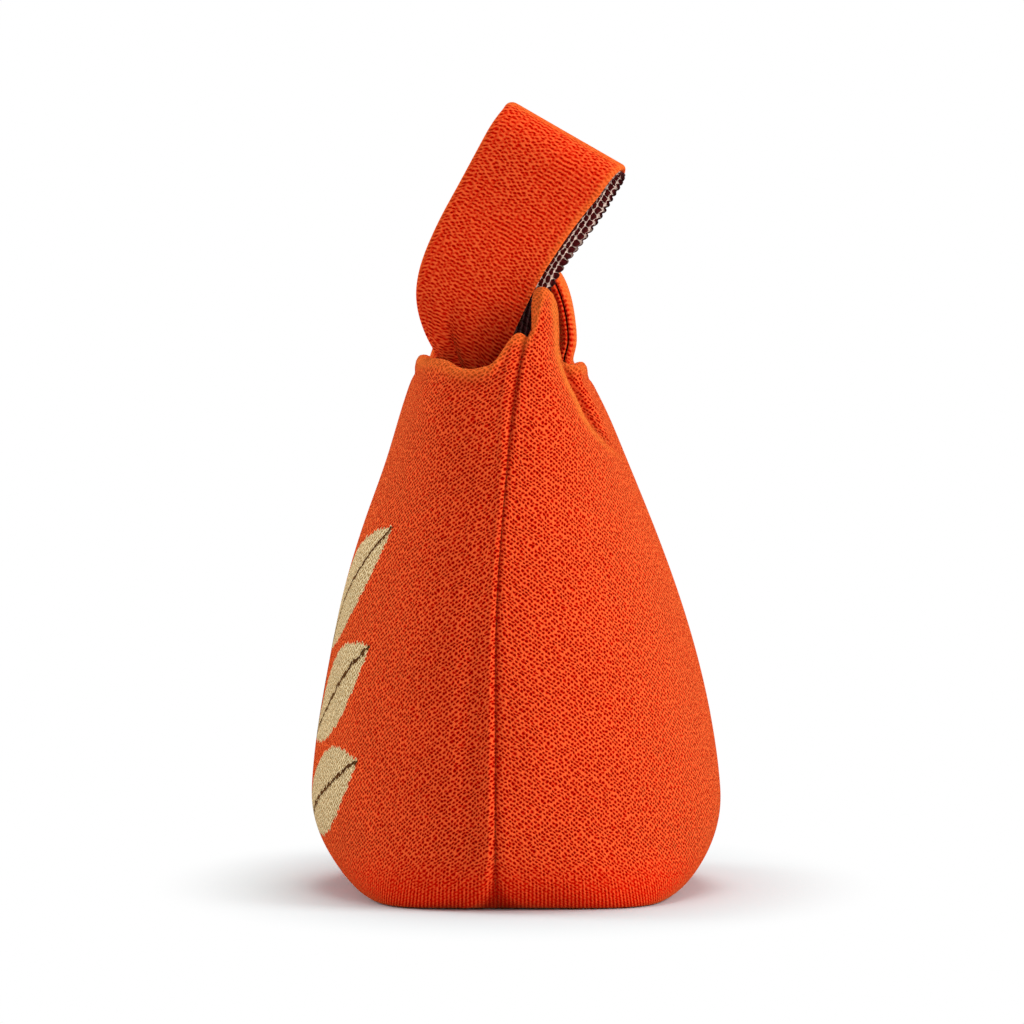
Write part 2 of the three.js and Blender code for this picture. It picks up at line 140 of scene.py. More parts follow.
surround = bpy.data.worlds.new("white_surround")
surround.use_nodes = True
scene.world = surround
sky = surround.node_tree
seen = new_node(sky, "LightPath")
mirrored = calculate(sky, "MAXIMUM", seen["Is Glossy Ray"], seen["Is Transmission Ray"])
shown = calculate(sky, "MAXIMUM", seen["Is Camera Ray"], mirrored)
strength = calculate(sky, "MULTIPLY_ADD", shown, 1 - SURROUND_LIGHT, SURROUND_LIGHT)
put_all(sky, sky.nodes["Background"], {"Color": (1, 1, 1, 1), "Strength": strength})

for lamp_name, (place, size, power) in LAMPS.items():
    lamp_data = bpy.data.lights.new(lamp_name, "AREA")
    lamp_data.shape = "DISK"
    lamp_data.size = size
    lamp_data.energy = power
    lamp = bpy.data.objects.new(lamp_name, lamp_data)
    lamp.location = place
    lamp.rotation_euler = (AIM - lamp.location).to_track_quat("-Z", "Y").to_euler()
    scene.collection.objects.link(lamp)

# Front and back panels
# Two pieces of double-faced cotton jacquard, orange outside and maroon inside, cut to taper and sewn
# together at both ends and under the base. The mouth's edge is turned over, and the drawn handle pulls
# the back panel up into a fold beside the near seam.
MM = 0.001
TURN = 2 * math.pi
BAG_LENGTH, BAG_DEPTH = 204.0, 153.0
FOOT_LENGTH = 172.0
FRONT_FOOT, BACK_FOOT, FOOT_TURN = 52.5, 55.5, 1.2  # from the base seam to the edge of the flat base
RIM_LENGTH, RIM_DEPTH = 120.0, 57.5
WIDEST_HEIGHT, RIM_HEIGHT = 34.0, 203.0
TAPER_POWER = 1.54
LENGTH_TAPER_TOP, DEPTH_TAPER_TOP = 212.0, 203.0
WAIST_SQUARENESS, RIM_SQUARENESS = 1.9, 2.8  # the ends are keen at the waist and blunt at the mouth
FRONT_FOOT_SQUARENESS, BACK_FOOT_SQUARENESS, FOOT_BLEND = 5.2, 5.8, 2.4
BODY_LEAN, LEAN_POWER = 6.2, 1.6
FABRIC = 3.0
# Height of the mouth's edge at the near end, by its place across the bag
FRONT_RIM = ((-36.6, 198.0), (-34.6, 199.3), (-31.8, 200.6), (-26.8, 200.6), (-22.8, 198.9), (-18.3, 198.1),
             (-11.9, 198.8), (-7.5, 200.8), (-5.2, 204.3), (-3.4, 207.8), (-0.8, 211), (1.9, 211.2),
             (3.6, 210.2))
BACK_RIM = ((4.0, 210.0), (7, 216.7), (8.5, 223.2), (9.6, 226.6), (10.6, 228), (12.3, 226.8), (14.5, 222.6),
            (15.6, 216), (16.4, 207), (17.4, 200), (19.0, 198.0), (21.0, 198.0), (22.4, 196.8),
            (24.4, 193.6))
FAR_RIM, FAR_RIM_RISE, FAR_RIM_REACH = 193.5, 6.0, 13.0
# Where the near seam lies across the bag, by height
NEAR_SEAM = ((0, -8.1), (60, -8.0), (115, -7.4), (160, -4.0), (184, -1.6), (195, 0), (203, 1.6), (212, 3.5))
PANEL_COLUMNS, COLUMN_CROWDING = 236, 0.86
BASE_ROWS, FOOT_ROWS, WALL_ROWS, LIP_ROWS = 14, 34, 116, 5
HEM = 12  # rows of orange turned over to the inside
CLOTH_TOP = 234.0  # the cloth's own rows are level up to here
MOUTH_LEVELS = (1.5, 1.9)  # where the shaping of the mouth begins and is full
LIP_ROLL, LIP_CLOTH = 1.8, 0.65  # swell of the rolled edge, and the cloth it takes by thickness
BACK_WELT, FRONT_WELT, LOW_FRONT_WELT, WELT_PLACE, SEAM_GROOVE = 0.3, 0.6, 0.7, 2.8, 0.9
HEM_SWELL, HEM_GROOVE = 0.7, 0.5
# Painted highlight along the mouth's edge, and how far and how high the foot's stitches close into ribs
RIM_HIGHLIGHT, RIBBED, RIBS_TOP = 0.38, 0.8, 24


def smooth(value, low, high):
    share = np.clip((value - low) / (high - low), 0, 1)
    return share * share * (3 - 2 * share)


def bell(value):
    return np.exp(-value * value)


def mixed(low, high, share):
    return low + (high - low) * share


def unit(vectors):
    return vectors / np.linalg.norm(vectors, axis=-1, keepdims=True)


def stacked(*parts):
    return np.stack(np.broadcast_arrays(*parts), axis=-1)


# Smooth curve through knots of a place and a size
def through(value, knots):
    places, sizes = np.array(knots, float).T
    slopes = np.gradient(sizes, places)
    value = np.clip(value, places[0], places[-1])
    at = np.clip(np.searchsorted(places, value) - 1, 0, len(places) - 2)
    width = places[at + 1] - places[at]
    t = (value - places[at]) / width
    rise = t * t * (3 - 2 * t)
    bends = t * (1 - t) ** 2 * slopes[at] - t * t * (1 - t) * slopes[at + 1]
    return mixed(sizes[at], sizes[at + 1], rise) + width * bends


def boxy(value, squareness):
    return np.sign(value) * np.abs(value) ** (2 / squareness)


def body_lean(z):
    return -BODY_LEAN * np.clip(z / RIM_HEIGHT, 0, 1) ** LEAN_POWER


# Share of the taper at a height. It goes on up to the top
def taper(z, top):
    risen = (np.minimum(z, top) - WIDEST_HEIGHT) / (RIM_HEIGHT - WIDEST_HEIGHT)
    return np.clip(risen, 0, 2) ** TAPER_POWER


# Outside of the cloth: level -1 is the base seam, 0 the edge of the flat base, 1 the widest, 2 the mouth
def body_wall(angle, level, rim):
    turn = np.clip(level, 0, 1) * math.pi / 2
    z = WIDEST_HEIGHT * (1 - np.cos(turn)) + np.clip(level - 1, 0, 1) * (rim - WIDEST_HEIGHT)
    foot_share = np.sin(turn)
    half_length = mixed(FOOT_LENGTH, BAG_LENGTH, foot_share) / 2
    half_length = half_length - (BAG_LENGTH - RIM_LENGTH) / 2 * taper(z, LENGTH_TAPER_TOP)
    front = np.sin(angle) < 0
    foot = np.where(front, FRONT_FOOT, BACK_FOOT)
    half_depth = mixed(foot, BAG_DEPTH / 2, foot_share ** FOOT_TURN)
    half_depth = half_depth - (BAG_DEPTH - RIM_DEPTH) / 2 * taper(z, DEPTH_TAPER_TOP)
    foot_squareness = np.where(front, FRONT_FOOT_SQUARENESS, BACK_FOOT_SQUARENESS)
    high_squareness = mixed(WAIST_SQUARENESS, RIM_SQUARENESS, smooth(z, 150, 200))
    keenness = 1 - (1 - np.clip(level, 0, 1)) ** FOOT_BLEND
    squareness = mixed(foot_squareness, high_squareness, keenness)
    x = half_length * boxy(np.cos(angle), squareness)
    y = half_depth * boxy(np.sin(angle), squareness) * np.clip(level + 1, 0, 1)
    return stacked(x, y + body_lean(z), z)


def facing(points):
    across = np.gradient(points, axis=1)
    up = np.gradient(points, axis=0)
    normal = np.cross(across, up)
    return normal / np.maximum(np.linalg.norm(normal, axis=2, keepdims=True), 1e-9)


# Distance along the rows or columns of points
def run(points, axis):
    steps = np.linalg.norm(np.diff(points, axis=axis), axis=2)
    start = np.zeros_like(np.take(steps, [0], axis=axis))
    return np.cumsum(np.concatenate([start, steps], axis=axis), axis=axis)


def grid_faces(rows, columns, wrap_rows=False, wrap_columns=False):
    down = np.arange(rows if wrap_rows else rows - 1)[:, None]
    along = np.arange(columns if wrap_columns else columns - 1)[None, :]
    after, beside = (down + 1) % rows, (along + 1) % columns
    corners = [down * columns + along, down * columns + beside,
               after * columns + beside, after * columns + along]
    return np.stack([c.ravel() for c in corners], axis=1).tolist()


# What the finishes know of each point: painted shade, painted highlight, gathering into ribs, and the
# cloth's half width there
# On the lining the painted shade also carries the plain dark yarn of its looped edge
CLOTH_TRAITS = ("crease", "worn", "drawn_in", "half_width")
SAME_PLACE = 2e-6


# Object from points in millimetres, with cloth coordinates in millimetres as its UV map
def cloth_object(name, points, cloth, faces, finishes, finish_of=None, **traits):
    mesh = bpy.data.meshes.new(name)
    mesh.from_pydata((points.reshape(-1, 3) * MM).tolist(), [], faces)
    for finish in finishes:
        mesh.materials.append(finish)
    corner = np.empty(len(mesh.loops), int)
    mesh.loops.foreach_get("vertex_index", corner)
    mesh.uv_layers.new(name="cloth").data.foreach_set("uv", cloth.reshape(-1, 2)[corner].ravel())
    if finish_of is not None:
        mesh.polygons.foreach_set("material_index", np.array(finish_of, dtype=np.int32))
    for trait in CLOTH_TRAITS:
        amounts = traits.get(trait, np.zeros(len(mesh.vertices))).ravel().astype(np.float32)
        mesh.attributes.new(trait, "FLOAT", "POINT").data.foreach_set("value", amounts)
    work = bmesh.new()
    work.from_mesh(mesh)
    bmesh.ops.remove_doubles(work, verts=work.verts, dist=SAME_PLACE)
    bmesh.ops.dissolve_degenerate(work, edges=work.edges, dist=SAME_PLACE)
    bmesh.ops.recalc_face_normals(work, faces=work.faces)
    for face in work.faces:
        face.smooth = True
    work.to_mesh(mesh)
    work.free()
    piece = bpy.data.objects.new(name, mesh)
    scene.collection.objects.link(piece)
    return piece


def srgb(red, green, blue):
    shares = [c / 255 for c in (red, green, blue)]
    return tuple(c / 12.92 if c < 0.04045 else ((c + 0.055) / 1.055) ** 2.4 for c in shares) + (1,)


# Each yarn from its hollows to its brightest strands: the hollow tone is painted shade in the stitches'
# recesses and the brightest a painted highlight
ORANGE = (srgb(140, 0, 0), srgb(210, 12, 0), srgb(252, 96, 46))
# Lighter orange painted on as a highlight along the mouth, the fold's ridge and the straps' edges
HIGHLIGHT_ORANGE = srgb(255, 134, 52)
CREAM = (srgb(150, 112, 62), srgb(206, 176, 124), srgb(240, 216, 170))
BROWN = (srgb(40, 18, 8), srgb(62, 34, 18), srgb(92, 58, 34))
MAROON = (srgb(44, 2, 4), srgb(108, 14, 16), srgb(146, 30, 30))
STITCH, STITCH_ROW = 2.35, 0.89  # from one stitch to the next, and from one row to the next
SLANT_LONG, SLANT_SHORT = 0.92, 1.08  # the stitches are longer along their slant
STITCH_SCATTER = 0.45  # how far a stitch may lie off its place
STITCH_WANDER, ROW_WANDER = (0.22, 2.3), (0.16, 1.5)  # unevenness of the lines: its scale and its reach
HOLLOW_EDGE, STRAND_EDGE = 0.14, 0.52  # where a stitch's hollow ends, and its ring of strands is full
HOLLOW_LEAST, HOLLOW_CHANCE = 0.74, 0.25
ROW_HEIGHT, ROW_BREADTH = 1.25, 0.5  # shape of the stitches that lie in rows
LEAN_RELIEF, WALE_RELIEF = 0.14, 0.12  # strands that lean one way, and stand in columns
RIB_PITCH, RIB_RELIEF, RIB_LEVEL = 1.45, 0.34, 0.55
RAGGED, RAGGED_SCALE = 14.0, 0.3  # how far the columns of a panel's two halves reach into one another
FUZZ, FUZZ_SCALE = 0.5, 1.3
PATCH_SCALE, PATCH_LEAST, PATCH_CHANGE = 0.045, 0.9, 0.2
KNIT_RELIEF = 0.3
SHEEN_TINT = (1.0, 0.45, 0.12, 1)


def mix_colour(tree, share, first, second, blend="MIX"):
    node = tree.nodes.new("ShaderNodeMix")
    node.data_type = "RGBA"
    node.blend_type = blend
    sockets = {s.identifier: s for s in node.inputs}
    put(tree, sockets["Factor_Float"], share)
    put(tree, sockets["A_Color"], first)
    put(tree, sockets["B_Color"], second)
    return {s.identifier: s for s in node.outputs}["Result_Color"]


def cloud(tree, vector, scale, detail=2.0):
    return new_node(tree, "TexNoise", named={"Vector": vector, "Scale": scale, "Detail": detail})


# Place within a stitch from its middle, across and along rows that lie half a stitch aside in turn
def in_stitch(tree, across, along, pitch):
    calc = partial(calculate, tree)
    row = calc("DIVIDE", across, pitch[0])
    odd = calc("FLOORED_MODULO", calc("FLOOR", row), 2.0)
    column = calc("MULTIPLY_ADD", odd, 0.5, calc("DIVIDE", along, pitch[1]))
    return [calc("SUBTRACT", calc("FRACT", part), 0.5) for part in (row, column)]


# Distance from the middle of stitches that lie in close rows, the rows following one another along u
def row_stitches(tree, u, v, pitch):
    calc = partial(calculate, tree)
    above, beside = in_stitch(tree, u, v, pitch)
    above = calc("MULTIPLY", above, ROW_HEIGHT)
    beside = calc("MULTIPLY", beside, ROW_BREADTH)
    return calc("SQRT", calc("ADD", calc("MULTIPLY", beside, beside), calc("MULTIPLY", above, above)))


def wave(tree, value, length=1.0):
    return calculate(tree, "COSINE", calculate(tree, "MULTIPLY", value, TURN / length))


def mesh_trait(tree, name):
    return new_node(tree, "Attribute", attribute_name=name)["Fac"]


def cloth_place(tree):
    return new_node(tree, "UVMap", uv_map="cloth")[0]


# Normal of a finish whose strands stand up by their height
def relief(tree, height):
    sizes = {"Strength": 1.0, "Distance": KNIT_RELIEF * MM, "Height": height}
    return new_node(tree, "Bump", named=sizes)[0]


# Yarn's colour by the height of its strands, with fainter and fuller patches, painted shade and painted
# highlights
def knit_colour(tree, place, height, yarn):
    lower = calculate(tree, "MULTIPLY", height, 2.0, use_clamp=True)
    upper = calculate(tree, "MULTIPLY_ADD", height, 2.0, -1.0, use_clamp=True)
    colour = mix_colour(tree, upper, mix_colour(tree, lower, yarn[0], yarn[1]), yarn[2])
    patch = cloud(tree, place, PATCH_SCALE, 3.0)["Fac"]
    patchy = calculate(tree, "MULTIPLY_ADD", patch, PATCH_CHANGE, PATCH_LEAST)
    tint = new_node(tree, "CombineXYZ", patchy, patchy, patchy)[0]
    colour = mix_colour(tree, 1.0, colour, tint, "MULTIPLY")
    colour = mix_colour(tree, mesh_trait(tree, "crease"), colour, yarn[0])
    return mix_colour(tree, mesh_trait(tree, "worn"), colour, HIGHLIGHT_ORANGE)


# Knitted finish: stitches, each a dark hollow inside a ring of bright strands. Staggered stitches run
# aslant, and the others in rows. Where the cloth is drawn in at the foot the stitches close up into ribs
def knit_finish(name, yarn, pitch=(STITCH, STITCH_ROW), staggered=True, pattern=None, hollow=1.0):
    finish, tree, shader = new_finish(name)
    calc = partial(calculate, tree)
    place = cloth_place(tree)
    u, v, _ = new_node(tree, "SeparateXYZ", place)
    # The columns of each half of a panel follow the seam on its side
    ragged = calc("MULTIPLY_ADD", cloud(tree, place, RAGGED_SCALE)["Fac"], RAGGED, -RAGGED / 2)
    half = calc("SIGN", calc("ADD", u, ragged))
    from_seam = calc("SUBTRACT", calc("MULTIPLY", half, mesh_trait(tree, "half_width")), u)
    even_place = new_node(tree, "CombineXYZ", from_seam, v)[0]
    wander_scale, reach = STITCH_WANDER if staggered else ROW_WANDER
    wander = cloud(tree, place, wander_scale)["Color"]
    stitch_place = new_node(tree, "VectorMath", wander, (reach, reach, 0), even_place,
                            operation="MULTIPLY_ADD")[0]
    across, up, _ = new_node(tree, "SeparateXYZ", stitch_place)
    column = calc("DIVIDE", across, pitch[0])
    row = calc("DIVIDE", up, 2 * pitch[1])
    across_slant = calc("MULTIPLY", calc("ADD", column, row), SLANT_SHORT)
    along_slant = calc("MULTIPLY", calc("SUBTRACT", row, column), SLANT_LONG)
    lattice = new_node(tree, "CombineXYZ", across_slant, along_slant)[0]
    spread = {"Vector": lattice, "Scale": 1.0, "Randomness": STITCH_SCATTER}
    stitch = new_node(tree, "TexVoronoi", named=spread, voronoi_dimensions="2D")
    from_middle = stitch["Distance"]
    if not staggered:
        # In places the rows give way to staggered stitches
        in_rows = row_stitches(tree, across, up, pitch)
        in_line = calc("MULTIPLY_ADD", cloud(tree, place, 0.05)["Fac"], 1.8, -0.5, use_clamp=True)
        row_change = calc("SUBTRACT", in_rows, from_middle)
        from_middle = calc("MULTIPLY_ADD", row_change, in_line, from_middle)
    strand = new_node(tree, "MapRange", from_middle, HOLLOW_EDGE, STRAND_EDGE)["Result"]
    chance = new_node(tree, "SeparateColor", stitch["Color"])[0]
    depth = calc("MULTIPLY_ADD", chance, HOLLOW_CHANCE * hollow, HOLLOW_LEAST * hollow)
    sunk = calc("MULTIPLY", calc("SUBTRACT", 1.0, strand), depth)
    height = calc("SUBTRACT", 1.0, sunk)
    if staggered:
        lean = wave(tree, calc("SUBTRACT", across_slant, STITCH_SCATTER / 2))
        wale = wave(tree, calc("SUBTRACT", across_slant, along_slant))
        height = calc("MULTIPLY_ADD", lean, -LEAN_RELIEF, height)
        height = calc("MULTIPLY_ADD", wale, -WALE_RELIEF, height)
    rib = calc("MULTIPLY_ADD", wave(tree, from_seam, RIB_PITCH), RIB_RELIEF, RIB_LEVEL)
    rib_change = calc("SUBTRACT", rib, height)
    height = calc("MULTIPLY_ADD", rib_change, mesh_trait(tree, "drawn_in"), height)
    fuzz = cloud(tree, place, FUZZ_SCALE, 3.0)["Fac"]
    height = calc("ADD", height, calc("MULTIPLY_ADD", fuzz, FUZZ, -FUZZ / 2))
    if pattern:
        middle = new_node(tree, "SeparateXYZ", stitch["Position"])
        half_sum = calc("DIVIDE", middle[0], 2 * SLANT_SHORT)
        half_gap = calc("DIVIDE", middle[1], 2 * SLANT_LONG)
        middle_across = calc("MULTIPLY", calc("SUBTRACT", half_sum, half_gap), pitch[0])
        stitch_u = calc("ADD", u, calc("SUBTRACT", across, middle_across))
        stitch_v = calc("MULTIPLY", calc("ADD", half_sum, half_gap), 2 * pitch[1])
        yarn = pattern(tree, stitch_u, stitch_v, yarn)
    put_all(tree, shader, {
        "Base Color": knit_colour(tree, place, height, yarn), "Normal": relief(tree, height),
        "Roughness": calc("MULTIPLY_ADD", height, -0.1, 0.95), "Specular IOR Level": 0.0,
        "Sheen Weight": 0.4, "Sheen Roughness": 0.3, "Sheen Tint": SHEEN_TINT})
    return finish


# Sprig of plain leaves knitted into the front panel, stepped at the stitches
LEAF_LENGTH, LEAF_WIDTH, VEIN_WIDTH = 72.0, 15.0, 0.9
STEM_LOW, STEM_HIGH, STEM_WIDTH = 62.0, 200.0, 1.7
LEAF_TILTS = ((84, 24), (116, 34), (150, 46))  # height on the stem, and degrees above level


def leaf_sprig(tree, u, v, yarn):
    calc = partial(calculate, tree)
    leaf, vein = 0.0, 0.0
    for height, tilt in LEAF_TILTS:
        for hand in (1, -1):
            turn = math.radians(tilt)
            away = calc("MULTIPLY", u, hand)
            up = calc("SUBTRACT", v, height)
            along = calc("MULTIPLY_ADD", away, math.cos(turn), calc("MULTIPLY", up, math.sin(turn)))
            aside = calc("MULTIPLY_ADD", away, -math.sin(turn), calc("MULTIPLY", up, math.cos(turn)))
            aside = calc("ABSOLUTE", aside)
            share = calc("MULTIPLY_ADD", along, 2 / LEAF_LENGTH, -1)
            edge = calc("MULTIPLY_ADD", calc("MULTIPLY", share, share), -LEAF_WIDTH, LEAF_WIDTH)
            inside = calc("GREATER_THAN", edge, aside)
            middle = calc("GREATER_THAN", VEIN_WIDTH, aside)
            leaf = calc("MAXIMUM", leaf, inside)
            vein = calc("MAXIMUM", vein, calc("MULTIPLY", inside, middle))
    on_stem = calc("LESS_THAN", calc("ABSOLUTE", u), STEM_WIDTH)
    low = calc("GREATER_THAN", v, STEM_LOW)
    high = calc("LESS_THAN", v, STEM_HIGH)
    stem = calc("MULTIPLY", on_stem, calc("MULTIPLY", low, high))
    vein = calc("MAXIMUM", vein, stem)
    leafy = [mix_colour(tree, leaf, plain, cream) for plain, cream in zip(yarn, CREAM)]
    return [mix_colour(tree, vein, tone, brown) for tone, brown in zip(leafy, BROWN)]


# How the cloth of both panels is pulled: the seam's place, the fold beside it, and the sag of the walls
FOLD_CREST = ((150, 50), (164, 38.7), (167, 35.7), (173, 30.7), (179.4, 26.2), (186.9, 22.8), (192.9, 19.8),
              (198.9, 17.5), (202.9, 16.3), (212.9, 15.7), (220.3, 15), (230, 12.5))
FOLD_ROUND, FOLD_DEPTH, FOLD_BACK = 9.0, 8.0, 28.0  # its turn, and how far behind it the cloth goes on
FOLD_START, FOLD_FULL = 155, 182  # heights where it begins and is full
FOLD_UNDERCUT = 1.8
SAG = 0.55
# Swells of the filled walls: height, spread and depth
FRONT_SWELLS = ((110, 25, 1.1), (160, 18, -0.9), (203, 6, 0.8))
BACK_SWELLS = ((75, 55, 0.9), (192, 12, -1.0))
DENT_PLACE, DENT_WIDTH, DENT_DEPTH = 12.0, 6.0, 2.2  # soft hollow beside the near seam, low on the front
SEAM_HOLD = 6.0  # the seams keep the cloth beside them from sagging


def seam_shift(z, across):
    reach = mixed(75, 26, smooth(z, 150, 205))
    return (through(z, NEAR_SEAM) - body_lean(z)) * np.clip(1 - np.abs(across) / reach, 0, 1) ** 1.5


# The fold on the back panel: the folded points, the painted shade under it, the painted highlight along it
# and what is past it
def pulled_fold(points, near):
    place, z = points[..., 0], points[..., 2]
    beyond = points[..., 1] - through(z, FOLD_CREST)
    rising = smooth(z, FOLD_START, FOLD_FULL) * near
    turned = FOLD_DEPTH * (1 - np.sqrt(1 - np.clip(1 + beyond / FOLD_ROUND, 0, 0.999) ** 2))
    turned = place - turned * smooth(place, FOLD_BACK, FOLD_BACK + 14)
    too_far = place - FOLD_BACK + 0.5 * np.clip(beyond, 0, 20)
    behind = place - 3 * np.log1p(np.exp(too_far / 3))
    folded_place = mixed(turned, behind, smooth(beyond, -0.1, 0.8))
    points[..., 0] = mixed(place, folded_place, rising)
    points[..., 1] -= FOLD_UNDERCUT * rising * bell((beyond - 0.6) / 0.55)
    shade = 0.5 * rising * bell((beyond - 1.2) / 0.8)
    light = 0.6 * rising * bell((beyond + 0.9) / 1.1)
    return points, shade, light, beyond > 0.3


def pulled_cloth(points, angle, from_near, side, folded=True):
    points = points.copy()
    z = points[..., 2]
    near = smooth(np.cos(angle), 0, 0.4)
    points[..., 1] += near * seam_shift(z, points[..., 1] - body_lean(z))
    x, y = points[..., 0], points[..., 1]
    sag = np.sin(x / 23 + 0.4) * np.sin(z / 19 + 1.1) + 0.7 * np.sin(y / 17 - 0.8) * np.sin(z / 31 + 0.3)
    sag += 0.5 * np.sin((x + y) / 12 + z / 27)
    loose = SAG * sag * smooth(z, 6, 40) * (1 - 0.6 * smooth(z, 185, 205))
    for height, spread, depth in FRONT_SWELLS if side < 0 else BACK_SWELLS:
        loose = loose + depth * bell((z - height) / spread)
    if side < 0:
        low = (1 - smooth(z, 60, 150)) * smooth(z, 4, 30)
        loose = loose - DENT_DEPTH * near * bell((from_near - DENT_PLACE) / DENT_WIDTH) * low
    held = (1 - bell(from_near / SEAM_HOLD)) * (1 - bell((from_near.max() - from_near) / SEAM_HOLD))
    points = points + side * facing(points) * (loose * held)[..., None]
    if side > 0 and folded:
        return pulled_fold(points, near)
    nowhere = np.zeros_like(z)
    return points, nowhere, nowhere, nowhere


# Where each point of a panel lies on its cloth: along it, and up the wall as if the mouth were level. The
# third number is the cloth's half width at that height, because the columns of stitches follow the seams
def panel_cloth(angle, level, from_near, side, heights):
    shape = body_wall(angle, level, CLOTH_TOP)
    low = BASE_ROWS + FOOT_ROWS
    level_heights = shape[low:, 0, 2]
    plain = pulled_cloth(shape, angle, from_near, side, folded=False)[0]
    folded, _, _, past_fold = pulled_cloth(shape, angle, from_near, side)
    middle = PANEL_COLUMNS // 2
    plain_run, folded_run = (run(surface * (1, 1, 0), 1) for surface in (plain, folded))
    along = plain_run[:, [middle]] - plain_run
    for row in np.flatnonzero(past_fold[:, :middle].any(axis=1)):
        kept = folded_run[row]
        ridge = np.argmax(past_fold[row])
        along[row, :ridge] = plain_run[row, middle] - kept[:ridge]
        squeeze = (plain_run[row, middle] - kept[ridge]) / (kept[middle] - kept[ridge])
        along[row, ridge:middle] = (kept[middle] - kept[ridge:middle]) * squeeze
    # Under the widest level the rows keep their distance from the seams
    share = np.minimum(plain_run, plain_run[:, [-1]] - plain_run)[:low] / plain_run[:low, [middle]]
    drawn = (plain_run[low, middle] - plain_run[:low, [middle]]) * (1 - smooth(share, 0.35, 0.85))
    along[:low] += drawn * np.sign(middle - np.arange(PANEL_COLUMNS))
    climb = run(plain, 0)
    climb = climb - climb[BASE_ROWS] + FRONT_FOOT
    climb[BASE_ROWS:] = climb[BASE_ROWS:, [0]]
    cloth = stacked(along, climb, along[:, [0]])
    for column in range(PANEL_COLUMNS):
        for part in range(cloth.shape[2]):
            spots = np.interp(heights[low:, column], level_heights, cloth[low:, column, part].copy())
            cloth[low:, column, part] = spots
    return cloth


# How far each column of a panel lies from the near seam, closer together at the seams, and its angle
def panel_columns(side):
    dense = np.linspace(0, math.pi, 40001)
    ring = body_wall(dense[None, :], np.array([[1.0]]), RIM_HEIGHT)
    length = run(ring, 1)[0]
    share = np.linspace(0, 1, PANEL_COLUMNS)
    spaced = share - COLUMN_CROWDING * np.sin(TURN * share) / TURN
    from_near = length[-1] * spaced
    return from_near, side * np.interp(from_near, length, dense)[None, :]


# Height of the mouth's edge at each column
def mouth_edge(angle, side):
    across = RIM_DEPTH / 2 * boxy(np.sin(angle), RIM_SQUARENESS)
    near = smooth(np.cos(angle), 0, 0.4)
    near_across = across - BODY_LEAN + seam_shift(np.array([[RIM_HEIGHT + 8]]), across)
    far_rim = FAR_RIM + FAR_RIM_RISE * bell(across / FAR_RIM_REACH) * (1 - near)
    near_rim = through(near_across, FRONT_RIM if side < 0 else BACK_RIM)
    return mixed(far_rim, near_rim, smooth(np.cos(angle), -0.5, 0))


# How far the outside stands off the plain wall: the welt and groove at each seam, and the hem at the mouth
def panel_relief(from_near, side, level, z, below_rim):
    relief = np.zeros_like(z)
    welt_size = BACK_WELT if side > 0 else FRONT_WELT + LOW_FRONT_WELT * (1 - smooth(z, 50, 110))
    for distance in (from_near, from_near[-1] - from_near):
        relief += welt_size * bell((distance - WELT_PLACE) / 1.6) - SEAM_GROOVE * bell(distance / 0.7)
    hem = HEM_SWELL * bell((below_rim - 1.6) / 2) - HEM_GROOVE * bell((below_rim - 5.5) / 1.6)
    return relief * smooth(level, 0.02, 0.3) + hem * smooth(level, *MOUTH_LEVELS) * smooth(from_near, 2, 9)


